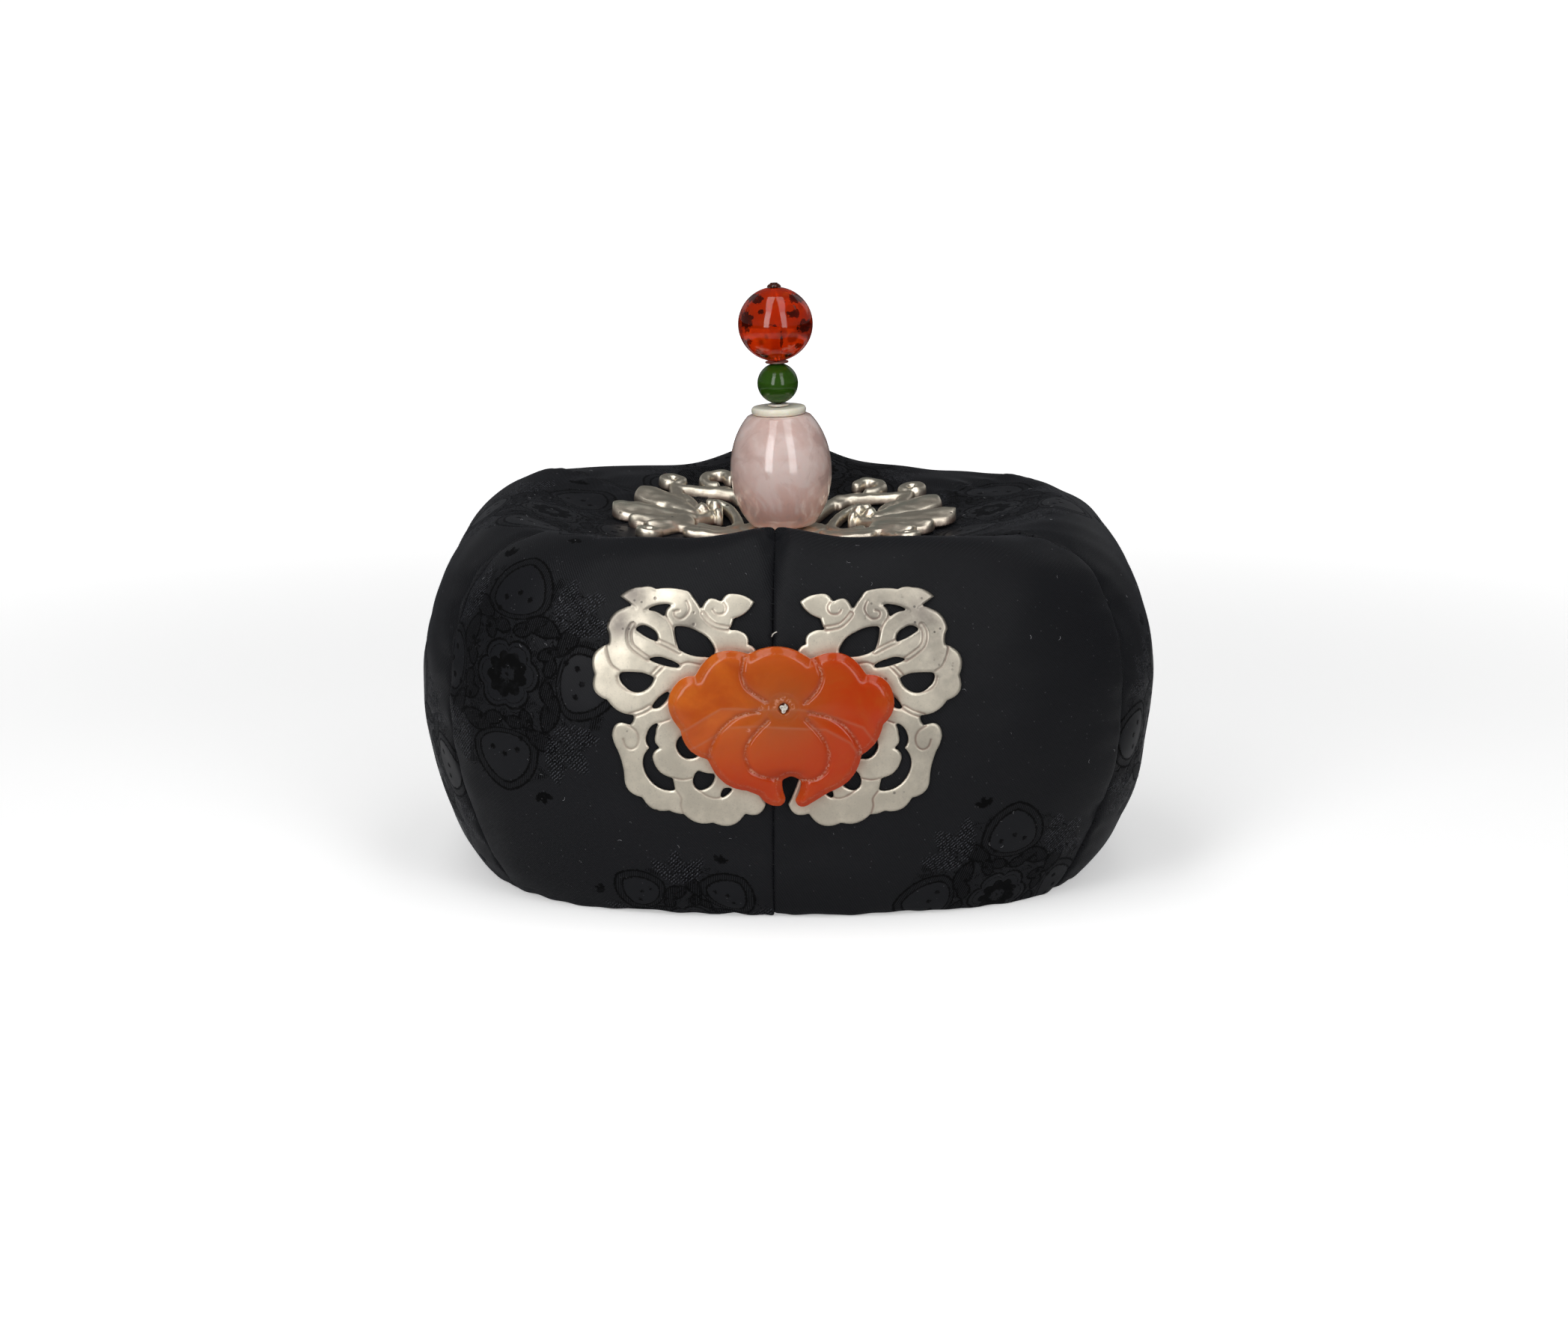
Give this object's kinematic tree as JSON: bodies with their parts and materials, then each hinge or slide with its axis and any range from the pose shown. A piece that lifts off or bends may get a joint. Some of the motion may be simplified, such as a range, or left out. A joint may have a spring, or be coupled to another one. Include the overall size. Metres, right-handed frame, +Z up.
{
  "type": "bridal coronet",
  "caption": "Padded black silk coronet with pierced silver plates and a carved stone butterfly in front, and a cast silver plate under a strung bead finial on the crown.",
  "frame": {"origin": "middle of the footprint, on the surface that the hem stands on", "axes": "+Z up along the height, -Y to the front with the stone butterfly, +X across to the wearer's left"},
  "size_m": [0.1554, 0.1274, 0.1254],
  "materials": {
    "silk": "black silk, woven with flowers in its own colour, soft satin sheen",
    "silver": "warm polished silver, chased, a little tarnished in its grooves",
    "carnelian": "polished translucent orange stone with frosted grooves",
    "thread": "pale twisted thread",
    "quartz": "polished cloudy rose quartz",
    "ivory": "smooth cream-coloured stone, satin",
    "jade": "polished dark green stone",
    "amber": "polished translucent red amber with dark flakes inside",
    "spacer": "matt brown"
  },
  "bodies": {
    "root": {"panel_front_right": "silk", "panel_side_right": "silk", "panel_back_right": "silk", "panel_back_left": "silk", "panel_side_left": "silk", "panel_front_left": "silk", "front_plate_left": "silver", "front_plate_right": "silver", "carnelian_butterfly": "carnelian", "butterfly_knot": "thread", "crown_plate": "silver", "quartz_barrel": "quartz", "white_disc": "ivory", "disc_spacer": "spacer", "jade_bead": "jade", "amber_spacer": "spacer", "amber_bead": "amber", "top_seed_bead": "amber", "finial_post": "thread"}
  },
  "joints": []
}
